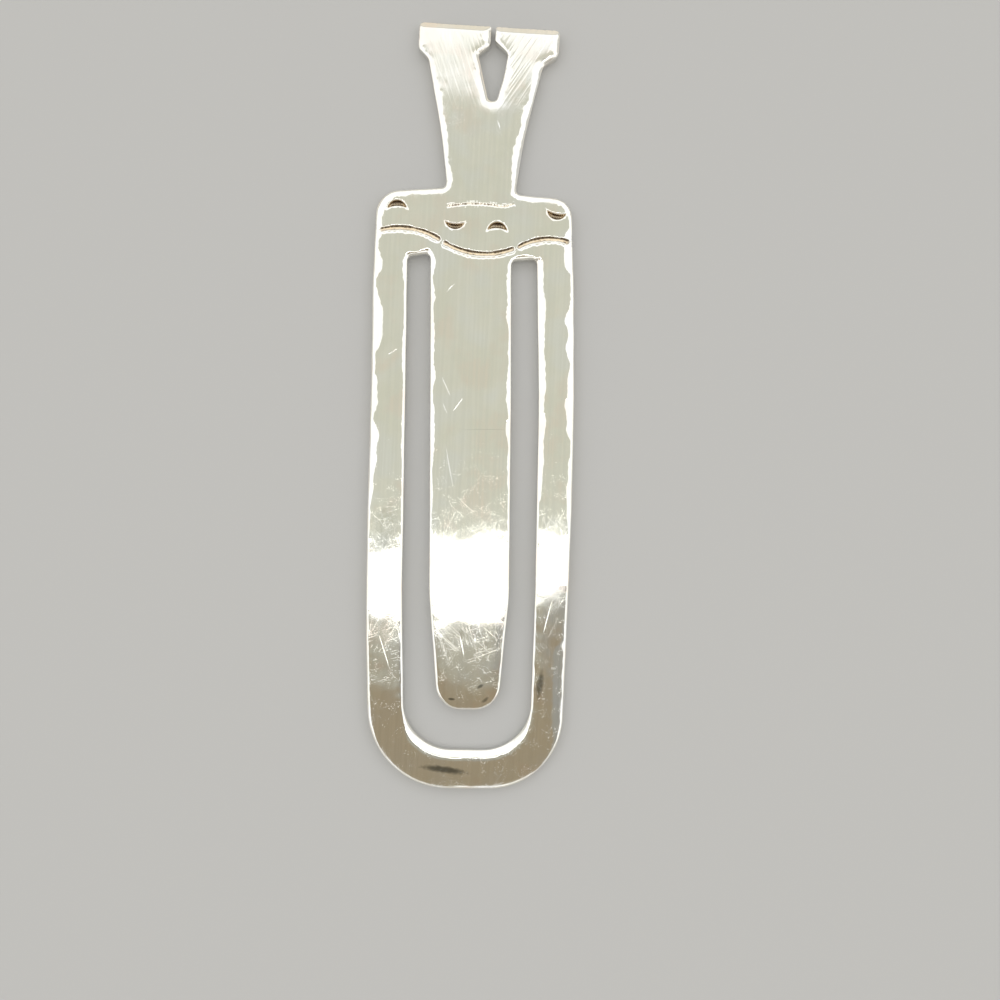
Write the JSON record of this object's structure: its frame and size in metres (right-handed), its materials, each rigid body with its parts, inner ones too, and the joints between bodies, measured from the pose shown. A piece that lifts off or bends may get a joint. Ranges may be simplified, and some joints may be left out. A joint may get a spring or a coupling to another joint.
{
  "type": "money clip",
  "caption": "Flat sawn silver money clip: a forked finial and chased shoulder plate over a spring tongue inside a sprung outer loop.",
  "frame": {"origin": "on the back face, under the middle of the whole clip", "axes": "+Z out of the decorated front face, +Y along the clip towards the forked finial, +X to the right seen from the front with the finial up; the clip lies on its back at z = 0"},
  "size_m": [0.0172, 0.064, 0.0012],
  "materials": {
    "silver_head": "polished silver with brushed file marks towards the serifs",
    "silver_plate": "polished silver, chased arcs and punched crescents darkened with brown oxide",
    "silver_tongue": "polished silver with fine use scratches",
    "silver_loop": "polished silver with fine use scratches"
  },
  "bodies": {
    "head": {"finial": "silver_head", "shoulder_plate": "silver_plate"},
    "tongue": {"tongue": "silver_tongue"},
    "loop": {"loop": "silver_loop"}
  },
  "joints": [
    {"name": "tongue_flex", "type": "hinge", "parent": "head", "child": "tongue", "pos_m": [0, 0.00681, 0.0006], "axis": [-1, 0, 0], "range_deg": [0, 5.5], "stiffness_Nm_per_rad": 4.5},
    {"name": "loop_flex", "type": "hinge", "parent": "head", "child": "loop", "pos_m": [0, 0.00583, 0.0006], "axis": [-1, 0, 0], "range_deg": [0, 6.5], "stiffness_Nm_per_rad": 3.35}
  ]
}
